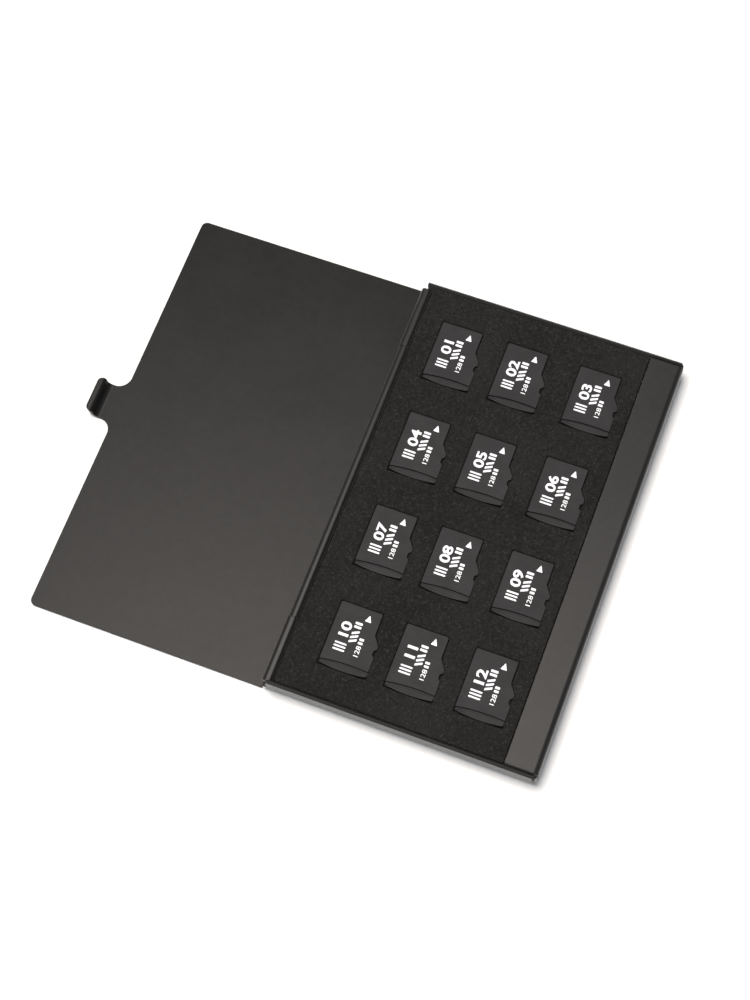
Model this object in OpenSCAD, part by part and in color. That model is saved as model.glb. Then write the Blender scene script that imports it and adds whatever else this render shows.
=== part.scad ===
// Memory card case: a shallow folded aluminium tray with a foam insert for
// twelve small memory cards, and a flat sheet lid that lies open beside it.
// Millimetres. X runs across the case from the hinge to the front edge,
// Y along the hinge, Z up. The origin is the middle of the tray's underside.

/* [Tray] */
// Length of the case along the hinge
case_l = 101; // [96:0.5:106]
// Width of the tray from the hinge side to the front edge
body_w = 62.5; // [61:0.5:66]
// Height of the tray
body_h = 6.7; // [6.4:0.1:8]
// Thickness of the folded sheet
sheet_t = 0.8; // [0.7:0.05:0.9]
// Thickness of the two side walls
side_t = 0.9; // [0.7:0.05:1.1]
// Width of the flat strip folded over the front edge
strip_w = 7.6; // [6:0.1:8]
// Outer radius of the fold between the front wall and the strip
fold_r = 1.3; // [1.1:0.1:1.6]
// Outer radius of the tray's bottom edges
pan_r = 3; // [2.4:0.1:3.4]
// Outer radius of the rims of the side walls
rim_r = 0.45; // [0.2:0.05:0.6]
// Gap between each end of the folded front and its side wall
corner_gap = 0.25; // [0.15:0.05:0.4]

/* [Hinge] */
// Diameter of the hinge pin
pin_d = 1; // [0.8:0.05:1.1]
// Radial clearance of the pin in the knuckles
pin_clear = 0.03; // [0.02:0.01:0.08]
// Outside radius of the rolled knuckles
knuckle_r = 1.05; // [1:0.01:1.15]
// Length of the middle knuckle, which belongs to the lid
mid_knuckle_l = 68.3; // [60:0.1:74]
// Gap between the knuckles
knuckle_gap = 0.2; // [0.15:0.05:0.5]

/* [Lid] */
// Length of the lid along the hinge
lid_l = 100.8; // [95.5:0.1:105.8]
// Reach of the lid from the hinge axis to its free edge
lid_reach = 56.85; // [55:0.05:58]
// Corner radius at the lid's free edge
lid_corner_r = 1.4; // [0.5:0.1:3]
// Inside radius of the bend between the lid and its knuckle
web_r = 0.75; // [0.6:0.05:0.8]
// Gap between the closed lid and the tray
lid_gap = 0.05; // [0.03:0.01:0.2]

/* [Latch] */
// Width of the latch tongue
tongue_w = 8.6; // [6:0.1:12]
// Radius of the fillets at the root of the tongue
tongue_fillet_r = 3.0; // [2:0.1:3]
// Gap between the latch wall and the front edge when closed
latch_gap = 0.15; // [0.12:0.01:0.3]
// Height of the latch wall above the lid's inner face
latch_h = 1.9; // [1.8:0.1:2.6]
// Inside radius of the latch's bend, which wraps the front edge
latch_r = 1.45; // [1.4:0.01:1.5]
// Outward reach of the finger lip
lip_out = 1.45; // [1.2:0.05:1.6]
// Corner radius of the finger lip
lip_corner_r = 1.3; // [0.5:0.1:2]

/* [Foam] */
// Depth of the foam's top face below the rim of the tray
foam_drop = 0.3; // [0.2:0.05:0.6]
// Thickness of the die-cut top layer
cutout_t = 1.2; // [1.1:0.05:1.5]
// Thickness of the adhesive sheet under the foam
adhesive_t = 0.13; // [0.08:0.01:0.2]

/* [Pockets] */
// Place of the left column of pockets, next to the hinge
col_left_x = -17.9; // [-19:0.1:-17]
// Place of the middle column of pockets
col_mid_x = -2.2; // [-3:0.1:-1.5]
// Place of the right column of pockets
col_right_x = 15.0; // [14.5:0.1:16]
// Drift of the left column over its length
col_left_drift = 2.3; // [0:0.1:2.5]
// Drift of the middle column over its length
col_mid_drift = 1.7; // [0:0.1:2]
// Drift of the right column over its length
col_right_drift = 0.3; // [0:0.1:1]
// Place of the first row of pockets, at the far end
row_1_y = 34.9; // [33.5:0.1:36]
// Pitch of the rows of pockets
row_pitch = 23.3; // [22.5:0.1:23.6]
// Clearance around a card in its pocket
pocket_clear = 0.3; // [0.2:0.05:0.6]

/* [Memory card] */
// Length of a card
card_l = 15; // [15:15]
// Width of a card
card_w = 11; // [11:11]
// Width of a card at its contact end
card_front_w = 9.7; // [9.7:9.7]
// Thickness of a card
card_t = 0.7; // [0.7:0.7]
// Thickness of a card at its rear lip
card_lip_t = 1; // [1:1]

/* [Hidden] */
$fn = 64;

// faces of the tray
hinge_x = -body_w / 2;
front_x = body_w / 2;
closed_z = body_h + lid_gap;
thick = closed_z + sheet_t;

// the hinge axis, half way up the closed case
knuckle_shift = 0.2;
axis_x = hinge_x + knuckle_r + knuckle_shift;
axis_z = thick / 2;
bore_r = pin_d / 2 + pin_clear;

// the folded front and the side walls
wall_in_y = case_l / 2 - side_t;
front_half = wall_in_y - corner_gap;
strip_in_x = front_x - strip_w;
side_x = axis_x + 0.1;
// the pan's lower corners reach in under the end knuckles
low_x = axis_x - 1.1;
low_r = 1.2;
low_z = 2.4;
side_corner_r = 0.45;
plan_r = 1.2;

// the end knuckles
end_in_y = mid_knuckle_l / 2 + knuckle_gap;
web_out = knuckle_r;
web_in = knuckle_r - sheet_t;

// the foam
foam_x0 = axis_x + knuckle_r + 0.6;
foam_x1 = strip_in_x - 0.2;
foam_half = wall_in_y - 0.2;
foam_z1 = body_h - foam_drop;
floor_z = foam_z1 - cutout_t;
foam_z0 = sheet_t + adhesive_t + 0.02;
foam_r = pan_r - 1.05;

// the lid, lying open
lid_edge_x = axis_x - 1.25;
lid_free_x = axis_x - lid_reach;
latch_in_x = 2 * axis_x - front_x - latch_gap;
latch_z = sheet_t + latch_h;

// the cards
card_z = floor_z + 0.02;
col_x = [col_left_x, col_mid_x, col_right_x];
col_drift = [col_left_drift, col_mid_drift, col_right_drift];
rear_bow_r = 30.5;
lip_bow_r = 41.4;
lip_mid_x = 1.7;

function card_place(i) =
    let (c = i % 3, r = floor(i / 3))
    [col_x[c] + col_drift[c] * r / 3, row_1_y - row_pitch * r, card_z];

// a profile drawn in X and Z, drawn out along Y from y0 to y1
module along_y(y0, y1) {
    translate([0, y1, 0]) rotate([90, 0, 0]) linear_extrude(y1 - y0) children();
}

// L-shaped bend: a ring quarter centred at p, for angles a to a + 90
module ring_quarter(p, r_out, r_in, a) {
    translate(p) rotate(a) difference() {
        intersection() {
            circle(r_out);
            square(r_out + 1);
        }
        if (r_in > 0) circle(r_in);
    }
}

// a profile drawn in Y and Z, drawn out along X from x0 to x1
module along_x(x0, x1) {
    translate([x0, 0, 0]) rotate([90, 0, 90]) linear_extrude(x1 - x0) children();
}

// the tray's outside, seen along Y: its hinge end is square, its front folded
module pan_side() {
    x0 = side_x + side_corner_r;
    x1 = front_x - pan_r;
    for (z = [side_corner_r, body_h - side_corner_r])
        translate([x0, z]) circle(side_corner_r);
    translate([x1, pan_r]) circle(pan_r);
    translate([front_x - fold_r, body_h - fold_r]) circle(fold_r);
    translate([x0, 0]) square([x1 - x0, body_h]);
    translate([side_x, side_corner_r])
        square([x0 - side_x + 1, body_h - 2 * side_corner_r]);
    translate([x1 - 1, pan_r]) square([pan_r + 1, body_h - pan_r - fold_r]);
    translate([x1 - 1, body_h - fold_r - 1]) square([pan_r - fold_r + 1, fold_r + 1]);
    translate([low_x + low_r, low_r]) circle(low_r);
    translate([low_x + low_r, 0]) square([3, low_z]);
    translate([low_x, low_r]) square([3, low_z - low_r]);
}

// the tray's hollow, seen along Y: open above, save under the strip
module hollow_side() {
    r = pan_r - sheet_t;
    r_top = fold_r - sheet_t;
    x1 = front_x - pan_r;
    translate([x1, pan_r]) circle(r);
    translate([front_x - fold_r, body_h - fold_r]) circle(r_top);
    translate([side_x - 5, sheet_t]) square([x1 - side_x + 5, body_h - 2 * sheet_t]);
    translate([side_x - 5, sheet_t]) square([strip_in_x - side_x + 5, body_h]);
    translate([x1 - 1, pan_r]) square([r + 1, body_h - pan_r - fold_r]);
    translate([x1 - 1, body_h - fold_r - 1])
        square([front_x - fold_r - x1 + 1, fold_r + 1 - sheet_t]);
}

// a rounded block seen along X, half as wide as half, from z0 to z1
module end_block(half, z0, z1, r, r_top) {
    for (s = [-1, 1]) {
        translate([s * (half - r), z0 + r]) circle(r);
        if (r_top > 0) translate([s * (half - r_top), z1 - r_top]) circle(r_top);
    }
    translate([-half + r, z0]) square([2 * half - 2 * r, z1 - z0 - r_top]);
    translate([-half, z0 + r]) square([2 * half, z1 - z0 - r - r_top]);
    translate([-half + r_top, z1 - r_top - 1]) square([2 * half - 2 * r_top, r_top + 1]);
}

module end_knuckle_roll() {
    difference() {
        translate([axis_x - knuckle_shift, axis_z]) circle(knuckle_r);
        translate([axis_x, axis_z]) circle(bore_r);
    }
}

module end_knuckle_web() {
    bend_r = web_r + sheet_t;
    x = axis_x - knuckle_shift;
    difference() {
        union() {
            translate([x + web_in, bend_r]) square([sheet_t, axis_z - bend_r]);
            ring_quarter([x + web_out + web_r, bend_r], bend_r, web_r, 180);
        }
        translate([x, axis_z]) circle(knuckle_r - 0.1);
    }
}

module pan_outside() {
    intersection() {
        along_y(-case_l / 2, case_l / 2) pan_side();
        along_x(low_x - 1, front_x + 1) end_block(case_l / 2, 0, body_h, pan_r, rim_r);
        union() {
            translate([low_x - 1, -case_l / 2, -1])
                cube([front_x - plan_r - low_x + 1, case_l, body_h + 2]);
            translate([low_x, -case_l / 2 + plan_r, -1])
                cube([front_x - low_x, case_l - 2 * plan_r, body_h + 2]);
            for (s = [-1, 1])
                translate([front_x - plan_r, s * (case_l / 2 - plan_r), -1])
                    cylinder(r = plan_r, h = body_h + 2);
        }
    }
}

module base_tray() {
    bend_x = axis_x - knuckle_shift + web_out + web_r;
    web_end_y = case_l / 2 - pan_r;
    color([0.27, 0.27, 0.27]) union() {
        difference() {
            pan_outside();
            intersection() {
                along_y(-case_l, case_l) hollow_side();
                along_x(side_x - 5, front_x + 5)
                    end_block(wall_in_y, sheet_t, body_h + 5, pan_r - 0.85, 0);
            }
            // the hinge side: the bottom ends at the bends and at the low lip
            for (y = [end_in_y, -web_end_y])
                translate([low_x - 1, y, -1])
                    cube([bend_x - low_x + 1, web_end_y - end_in_y, sheet_t + 1.5]);
            translate([low_x - 1, -end_in_y, -1])
                cube([axis_x + 0.6 - low_x + 1, 2 * end_in_y, sheet_t + 1.5]);
            // seams between the folded front and the side walls
            for (y = [-wall_in_y, front_half])
                translate([strip_in_x - 1, y, pan_r])
                    cube([strip_w + 2, corner_gap, body_h]);
        }
        // low lip behind the foam
        translate([axis_x + 0.6, -mid_knuckle_l / 2, 0.3])
            cube([sheet_t, mid_knuckle_l, 1.9]);
        // end knuckles
        for (s = [0, 1]) mirror([0, s, 0]) {
            along_y(end_in_y, wall_in_y - 0.05) end_knuckle_roll();
            along_y(end_in_y, web_end_y) end_knuckle_web();
        }
    }
}

module hinge_pin() {
    color([0.62, 0.62, 0.61])
        translate([axis_x, wall_in_y - 0.1, axis_z]) rotate([90, 0, 0])
            cylinder(r = pin_d / 2, h = 2 * wall_in_y - 0.2);
}

module adhesive_sheet() {
    color([0.75, 0.73, 0.66])
        translate([foam_x0 + 0.4, -case_l / 2 + pan_r + 0.4, sheet_t])
            cube([front_x - pan_r - 0.4 - foam_x0 - 0.4, case_l - 2 * pan_r - 0.8, adhesive_t]);
}

module foam_base() {
    x1 = front_x - sheet_t - 0.25;
    color([0.15, 0.15, 0.155]) intersection() {
        // lower edges rounded to lie in the tray
        along_y(-foam_half, foam_half) {
            translate([x1 - foam_r, foam_z0 + foam_r]) circle(foam_r);
            translate([foam_x0, foam_z0]) square([x1 - foam_r - foam_x0, floor_z - foam_z0]);
            translate([foam_x0, foam_z0 + foam_r])
                square([x1 - foam_x0, floor_z - foam_z0 - foam_r]);
        }
        along_x(foam_x0 - 1, front_x) end_block(foam_half, foam_z0, floor_z, foam_r, 0);
    }
}

// a card's plan outline, contact end towards +Y
module card_outline(g = 0) {
    h = card_l / 2;
    w = card_w / 2;
    n = card_front_w - card_w / 2;
    if (g > 0)
        polygon([[-w - g, -h - g], [w + g, -h - g], [w + g, h - 7.6],
                 [n + g, h - 4.6], [n + g, h + g], [-w - g, h + g]]);
    else
        intersection() {
            polygon([[-w, -h], [w, -h], [w, h - 9.7], [w - 0.45, h - 9.3],
                     [w - 0.45, h - 8], [w, h - 7.8], [w, h - 7.2],
                     [n, h - 4.9], [n, h - 0.3], [n - 0.3, h], [0.3 - w, h], [-w, h - 0.3]]);
            translate([0, rear_bow_r - h]) circle(rear_bow_r, $fn = 180);
        }
}

module foam_cutout() {
    color([0.15, 0.15, 0.155]) difference() {
        translate([foam_x0, -foam_half, floor_z])
            cube([foam_x1 - foam_x0, 2 * foam_half, cutout_t]);
        for (i = [0:11]) {
            p = card_place(i);
            translate([p[0], p[1], floor_z - 1])
                linear_extrude(cutout_t + 2) card_outline(pocket_clear);
        }
    }
}

module lid_section() {
    bend_r = web_r + sheet_t;
    bend_x = axis_x - web_out - web_r;
    difference() {
        union() {
            translate([axis_x, axis_z]) circle(knuckle_r);
            translate([axis_x - web_out, bend_r])
                square([sheet_t, axis_z - bend_r]);
            ring_quarter([bend_x, bend_r], bend_r, web_r, -90);
            translate([bend_x - 2, 0]) square([2, sheet_t]);
        }
        translate([axis_x, axis_z]) circle(bore_r);
    }
}

module latch_section() {
    r_out = latch_r + sheet_t;
    bend_x = latch_in_x + latch_r;
    // flat tongue, bend, upright wall and finger lip
    translate([bend_x, 0]) square([lid_free_x + 1 - bend_x, sheet_t]);
    ring_quarter([bend_x, r_out], r_out, latch_r, 180);
    translate([latch_in_x - sheet_t, r_out]) square([sheet_t, latch_z - r_out]);
    polygon([[latch_in_x, latch_z - 0.3], [latch_in_x, latch_z],
             [latch_in_x - 0.22, latch_z + 0.4],
             [latch_in_x - 0.75, latch_z + 0.66],
             [latch_in_x - lip_out - 0.02, latch_z + 0.82],
             [latch_in_x - lip_out - 0.02, latch_z + 0.02],
             [latch_in_x - sheet_t, latch_z - 0.2]]);
    translate([latch_in_x - lip_out, latch_z + 0.42])
        circle(0.41, $fn = 32);
}

module lid_plan() {
    half = lid_l / 2;
    difference() {
        union() {
            // plate with rounded free corners
            translate([lid_free_x, -half + lid_corner_r])
                square([lid_edge_x - lid_free_x, lid_l - 2 * lid_corner_r]);
            translate([lid_free_x + lid_corner_r, -half])
                square([lid_edge_x - lid_free_x - lid_corner_r, lid_l]);
            for (s = [-1, 1])
                translate([lid_free_x + lid_corner_r, s * (half - lid_corner_r)])
                    circle(lid_corner_r);
            // root of the tongue
            translate([lid_free_x - tongue_fillet_r, -tongue_w / 2 - tongue_fillet_r])
                square([tongue_fillet_r + 0.1, tongue_w + 2 * tongue_fillet_r]);
        }
        for (s = [-1, 1])
            translate([lid_free_x - tongue_fillet_r, s * (tongue_w / 2 + tongue_fillet_r)])
                circle(tongue_fillet_r);
    }
}

module lid_plate() {
    half = mid_knuckle_l / 2;
    bend_x = axis_x - web_out - web_r;
    color([0.30, 0.295, 0.285]) union() {
        difference() {
            linear_extrude(sheet_t) lid_plan();
            // room for the bend between the end parts of the hinge edge
            translate([bend_x, -half, -1]) cube([5, 2 * half, sheet_t + 2]);
        }
        along_y(-half, half) lid_section();
        intersection() {
            along_y(-tongue_w / 2, tongue_w / 2) latch_section();
            union() {
                // the finger lip's corners are rounded in plan
                x = latch_in_x - lip_out - 0.36 + lip_corner_r;
                translate([x, -tongue_w / 2, -1]) cube([20, tongue_w, 20]);
                translate([x - lip_corner_r - 1, -tongue_w / 2 + lip_corner_r, -1])
                    cube([20, tongue_w - 2 * lip_corner_r, 20]);
                for (s = [-1, 1])
                    translate([x, s * (tongue_w / 2 - lip_corner_r), -1])
                        cylinder(r = lip_corner_r, h = 20);
            }
        }
    }
}

// pads lie flush in shallow seats in the card's underside
pad_n = 8;
pad_pitch = 1.1;
pad_w = 0.8;
pad_l = 2.9;
pad_t = 0.08;

module pad_row(grow, t) {
    for (k = [0:pad_n - 1])
        translate([-card_w / 2 + 1 + pad_pitch * k - pad_w / 2 + 0.1 - grow,
                   card_l / 2 - 1 - pad_l - grow, -0.0001])
            cube([pad_w + 2 * grow, pad_l + 2 * grow, t + grow / 2]);
}

module memory_card(i) {
    color([0.275, 0.275, 0.28]) translate(card_place(i)) difference() {
        union() {
            linear_extrude(card_t) card_outline();
            // raised lip across the rear, its front bowed
            linear_extrude(card_lip_t) intersection() {
                card_outline();
                translate([lip_mid_x, -card_l / 2 + 1.27 - lip_bow_r])
                    circle(lip_bow_r, $fn = 360);
            }
        }
        translate([0, 0, -0.01]) pad_row(0.02, pad_t + 0.01);
    }
}

module card_contacts(i) {
    color([0.83, 0.66, 0.33]) translate(card_place(i)) pad_row(0, pad_t);
}

base_tray();
hinge_pin();
adhesive_sheet();
foam_base();
foam_cutout();
lid_plate();
memory_card(0);  // memory_card_01
memory_card(1);  // memory_card_02
memory_card(2);  // memory_card_03
memory_card(3);  // memory_card_04
memory_card(4);  // memory_card_05
memory_card(5);  // memory_card_06
memory_card(6);  // memory_card_07
memory_card(7);  // memory_card_08
memory_card(8);  // memory_card_09
memory_card(9);  // memory_card_10
memory_card(10);  // memory_card_11
memory_card(11);  // memory_card_12
card_contacts(0);  // card_contacts_01
card_contacts(1);  // card_contacts_02
card_contacts(2);  // card_contacts_03
card_contacts(3);  // card_contacts_04
card_contacts(4);  // card_contacts_05
card_contacts(5);  // card_contacts_06
card_contacts(6);  // card_contacts_07
card_contacts(7);  // card_contacts_08
card_contacts(8);  // card_contacts_09
card_contacts(9);  // card_contacts_10
card_contacts(10);  // card_contacts_11
card_contacts(11);  // card_contacts_12
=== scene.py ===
"""Memory card case: the looks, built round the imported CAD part.

Shapes are drawn in millimetres and scaled to metres when they are done.
X runs from the hinge to the front edge, Y along the hinge, Z up.
"""

import math

import bmesh
import bpy
import numpy as np
from mathutils import Matrix, Vector
from mathutils.bvhtree import BVHTree
from mathutils.geometry import delaunay_2d_cdt
from mathutils.kdtree import KDTree


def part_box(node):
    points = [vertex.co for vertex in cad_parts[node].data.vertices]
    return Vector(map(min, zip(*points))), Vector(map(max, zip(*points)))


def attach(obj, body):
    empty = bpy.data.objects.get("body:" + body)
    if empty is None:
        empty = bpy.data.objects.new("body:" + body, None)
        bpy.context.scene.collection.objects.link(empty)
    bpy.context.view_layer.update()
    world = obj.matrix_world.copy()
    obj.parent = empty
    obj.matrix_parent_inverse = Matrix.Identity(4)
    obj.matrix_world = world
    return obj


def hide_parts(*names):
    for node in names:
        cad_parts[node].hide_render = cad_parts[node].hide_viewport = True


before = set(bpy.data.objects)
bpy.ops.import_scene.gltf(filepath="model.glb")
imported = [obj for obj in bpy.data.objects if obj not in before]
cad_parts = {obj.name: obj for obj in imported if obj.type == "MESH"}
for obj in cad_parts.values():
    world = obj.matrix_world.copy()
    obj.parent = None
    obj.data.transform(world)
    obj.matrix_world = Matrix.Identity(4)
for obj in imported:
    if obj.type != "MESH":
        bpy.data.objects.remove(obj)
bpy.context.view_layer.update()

SCENE = bpy.context.scene

# --------------------------------------------------------------------------
# sizes of the case, in millimetres, as in the CAD part

HALF_L = 50.5
FRONT_X = 31.25
BODY_H = 6.7
SHEET = 0.8
WALL_IN = 49.6
STRIP_IN = 23.65
SIDE_X = -29.9
AXIS_X, AXIS_Z = -30.0, 3.775
KNUCKLE_R, BORE_R, SHIFT = 1.05, 0.53, 0.2
END_IN, MID = 34.35, 34.15
FREE_X = -86.85
LATCH_X = -91.4
FLOOR_Z, FOAM_Z = 5.2, 6.4
FOAM_X0, FOAM_X1, FOAM_Y = -28.35, 23.45, 49.4


# --------------------------------------------------------------------------
# outlines and solids


def fillet(corners, step=6.0):
    """Outline through (x, y, radius) corners, each rounded to its radius."""
    found, n = [], len(corners)
    for i, (x, y, r) in enumerate(corners):
        p = np.array([x, y], float)
        if r <= 0:
            found.append((x, y))
            continue
        a = np.array(corners[i - 1][:2], float) - p
        b = np.array(corners[(i + 1) % n][:2], float) - p
        a, b = a / np.linalg.norm(a), b / np.linalg.norm(b)
        half = math.acos(max(-1.0, min(1.0, float(a @ b)))) / 2
        if half > math.radians(89.5):
            found.append((x, y))
            continue
        middle = p + (a + b) / np.linalg.norm(a + b) * r / math.sin(half)
        p0, p1 = p + a * r / math.tan(half), p + b * r / math.tan(half)
        a0 = math.atan2(*(p0 - middle)[::-1])
        a1 = math.atan2(*(p1 - middle)[::-1])
        turn = (a1 - a0 + math.pi) % (2 * math.pi) - math.pi
        k = max(2, math.ceil(abs(turn) / math.radians(step)))
        for j in range(k + 1):
            t = a0 + turn * j / k
            found.append((middle[0] + r * math.cos(t), middle[1] + r * math.sin(t)))
    return found


def arc(cx, cy, r, a0, a1, step=6.0):
    """Points round a centre from angle a0 to a1, in degrees, both ends included."""
    k = max(2, math.ceil(abs(a1 - a0) / step))
    angles = [math.radians(a0 + (a1 - a0) * j / k) for j in range(k + 1)]
    return [(cx + r * math.cos(t), cy + r * math.sin(t)) for t in angles]


def tidy(outline):
    """The outline without repeated points."""
    kept = []
    for p in outline:
        if not kept or math.dist(p, kept[-1]) > 1e-5:
            kept.append(tuple(map(float, p)))
    if math.dist(kept[0], kept[-1]) <= 1e-5:
        kept.pop()
    return kept


def link(obj):
    SCENE.collection.objects.link(obj)
    return obj


def prism(outline, axis, lo, hi):
    """A closed solid: an outline drawn out along an axis from lo to hi."""
    place = {
        "x": lambda u, v, t: (t, u, v),
        "y": lambda u, v, t: (u, t, v),
        "z": lambda u, v, t: (u, v, t),
    }[axis]
    outline = tidy(outline)
    bm = bmesh.new()
    a = [bm.verts.new(place(u, v, lo)) for u, v in outline]
    b = [bm.verts.new(place(u, v, hi)) for u, v in outline]
    bm.faces.new(a)
    bm.faces.new(b)
    n = len(outline)
    for i in range(n):
        j = (i + 1) % n
        bm.faces.new((a[i], a[j], b[j], b[i]))
    bmesh.ops.recalc_face_normals(bm, faces=bm.faces)
    mesh = bpy.data.meshes.new("solid")
    bm.to_mesh(mesh)
    bm.free()
    return link(bpy.data.objects.new("solid", mesh))


def block(x0, x1, y0, y1, z0, z1):
    return prism([(x0, y0), (x1, y0), (x1, y1), (x0, y1)], "z", z0, z1)


def settled(obj):
    """A new mesh of obj with its modifiers applied."""
    bpy.context.view_layer.update()
    dg = bpy.context.evaluated_depsgraph_get()
    return bpy.data.meshes.new_from_object(
        obj.evaluated_get(dg), preserve_all_data_layers=True, depsgraph=dg
    )


def combine(obj, operation, *tools):
    """Cuts, joins or intersects obj with the tools, which are used up."""
    for tool in tools:
        m = obj.modifiers.new("combine", "BOOLEAN")
        m.operation, m.solver, m.object = operation, "EXACT", tool
    mesh = settled(obj)
    obj.modifiers.clear()
    obj.data = mesh
    for tool in tools:
        bpy.data.objects.remove(tool)
    return obj


def clean(obj, angle=0.4):
    """Joins faces that lie in one plane."""
    bm = bmesh.new()
    bm.from_mesh(obj.data)
    bmesh.ops.remove_doubles(bm, verts=bm.verts, dist=2e-4)
    bmesh.ops.dissolve_degenerate(bm, edges=bm.edges, dist=2e-4)
    bmesh.ops.dissolve_limit(
        bm,
        angle_limit=math.radians(angle),
        use_dissolve_boundaries=False,
        verts=bm.verts,
        edges=bm.edges,
        delimit=set(),
    )
    bmesh.ops.recalc_face_normals(bm, faces=bm.faces)
    bm.to_mesh(obj.data)
    bm.free()
    return obj


def soften(obj, width, segments=2, angle=35.0):
    """Rounds the sharp edges and shades the faces smooth, flat faces staying flat."""
    sharp = BVHTree.FromPolygons(
        [v.co.copy() for v in obj.data.vertices],
        [tuple(p.vertices) for p in obj.data.polygons],
    )
    m = obj.modifiers.new("round", "BEVEL")
    m.width, m.segments, m.limit_method = width, segments, "ANGLE"
    m.angle_limit = math.radians(angle)
    m.use_clamp_overlap = False
    m.miter_outer = "MITER_ARC"
    m.material = -1
    mesh = settled(obj)
    obj.modifiers.clear()
    obj.data = mesh
    # a corner pushed too far by the rounding goes back to the sharp surface
    for v in mesh.vertices:
        where, _, _, gap = sharp.find_nearest(v.co)
        if gap > 0.6 * width:
            v.co = where
    m = obj.modifiers.new("shade", "WEIGHTED_NORMAL")
    m.mode, m.weight, m.keep_sharp = "FACE_AREA", 70, False
    obj.data.shade_smooth()
    mesh = settled(obj)
    obj.modifiers.clear()
    obj.data = mesh
    return obj


def named(obj, name, material, body, replaces=()):
    """Scales a piece from millimetres to metres, names it, gives it its material and hangs it on its body,
    hiding the CAD parts it replaces.
    """
    obj.data.transform(Matrix.Scale(0.001, 4))
    obj.name = obj.data.name = name
    obj.data.materials.clear()
    obj.data.materials.append(material)
    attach(obj, body)
    if replaces:
        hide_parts(*replaces)
    return obj


# --------------------------------------------------------------------------
# materials


class Nodes:
    """A small hand for wiring a material's nodes."""

    def __init__(self, name):
        self.material = bpy.data.materials.new(name)
        self.material.use_nodes = True
        self.tree = self.material.node_tree
        self.tree.nodes.clear()
        self.out = self.add("ShaderNodeOutputMaterial")
        self.shader = self.add("ShaderNodeBsdfPrincipled")
        self.wire(self.shader.outputs[0], self.out.inputs[0])
        self.place = self.add("ShaderNodeTexCoord").outputs["Object"]

    def add(self, kind, **settings):
        node = self.tree.nodes.new(kind)
        for key, value in settings.items():
            setattr(node, key, value)
        return node

    def wire(self, a, b):
        self.tree.links.new(a, b)

    def value(self, socket, number):
        self.shader.inputs[socket].default_value = number

    def scaled(self, sizes, turn=(0, 0, 0)):
        """Object coordinates stretched by sizes, in cells per metre."""
        m = self.add("ShaderNodeMapping")
        m.inputs["Scale"].default_value = sizes
        m.inputs["Rotation"].default_value = turn
        self.wire(self.place, m.inputs["Vector"])
        return m.outputs["Vector"]

    def noise(self, scale, detail=2.0, rough=0.5, vector=None, distortion=0.0):
        n = self.add("ShaderNodeTexNoise")
        n.inputs["Scale"].default_value = scale
        n.inputs["Detail"].default_value = detail
        n.inputs["Roughness"].default_value = rough
        n.inputs["Distortion"].default_value = distortion
        self.wire(vector or self.place, n.inputs["Vector"])
        return n.outputs["Fac"]

    def cells(self, scale, feature="F1", vector=None, spread=1.0):
        n = self.add("ShaderNodeTexVoronoi", feature=feature)
        n.inputs["Scale"].default_value = scale
        n.inputs["Randomness"].default_value = spread
        self.wire(vector or self.place, n.inputs["Vector"])
        return n

    def ranged(self, fac, a, b, c, d, smooth=True):
        """Maps a..b to c..d."""
        n = self.add("ShaderNodeMapRange")
        n.interpolation_type = "SMOOTHSTEP" if smooth else "LINEAR"
        for key, value in zip(
            ("From Min", "From Max", "To Min", "To Max"), (a, b, c, d), strict=True
        ):
            n.inputs[key].default_value = value
        self.wire(fac, n.inputs["Value"])
        return n.outputs["Result"]

    def math(self, operation, a, b=None):
        n = self.add("ShaderNodeMath", operation=operation)
        for i, v in enumerate((a, b)):
            if v is None:
                continue
            if isinstance(v, (int, float)):
                n.inputs[i].default_value = v
            else:
                self.wire(v, n.inputs[i])
        return n.outputs[0]

    def mix(self, fac, a, b, blend="MIX"):
        """Mixes two colours, each a colour or a socket."""
        n = self.add("ShaderNodeMix", data_type="RGBA", blend_type=blend)
        if isinstance(fac, (int, float)):
            n.inputs[0].default_value = fac
        else:
            self.wire(fac, n.inputs[0])
        for i, v in ((6, a), (7, b)):
            if isinstance(v, tuple):
                n.inputs[i].default_value = (*v, 1)
            else:
                self.wire(v, n.inputs[i])
        return n.outputs[2]

    def bump(self, height, strength, distance, normal=None):
        n = self.add("ShaderNodeBump")
        n.inputs["Strength"].default_value = strength
        n.inputs["Distance"].default_value = distance
        self.wire(height, n.inputs["Height"])
        if normal is not None:
            self.wire(normal, n.inputs["Normal"])
        return n.outputs["Normal"]

    def use(self, socket, output):
        self.wire(output, self.shader.inputs[socket])


def anodised(name, dark, light, rough, level, sheen, along=(1, 0, 0)):
    """Bead-blasted, dark anodised aluminium sheet, with its rolling grain."""
    k = Nodes(name)
    blast = k.noise(5200, 3, 0.6)
    pits = k.cells(2600).outputs["Distance"]
    cloud = k.noise(55, 4, 0.55)
    mottle = k.noise(620, 3, 0.6)
    stretch = (90, 3000, 3000) if along[0] else (3000, 90, 3000)
    streak = k.noise(1.0, 3, 0.55, k.scaled(stretch))
    tone = k.math("MULTIPLY", cloud, 0.3)
    tone = k.math("ADD", tone, k.math("MULTIPLY", mottle, 0.25))
    tone = k.math("ADD", tone, k.math("MULTIPLY", blast, 0.3))
    tone = k.math("ADD", tone, k.math("MULTIPLY", streak, 0.15))
    k.use("Base Color", k.mix(k.ranged(tone, 0.34, 0.66, 0, 1), dark, light))
    k.value("Metallic", 0.25)
    k.value("Specular IOR Level", level)
    k.value("Sheen Weight", sheen)
    k.value("Sheen Roughness", 0.35)
    soft = k.ranged(cloud, 0.3, 0.7, rough - 0.012, rough + 0.012)
    k.use("Roughness", k.math("ADD", soft, k.ranged(streak, 0.3, 0.7, -0.012, 0.012)))
    grain = k.math("ADD", k.math("MULTIPLY", blast, 0.7), k.math("MULTIPLY", pits, 0.5))
    k.use("Normal", k.bump(grain, 0.32, 0.00002))
    return k.material


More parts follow.
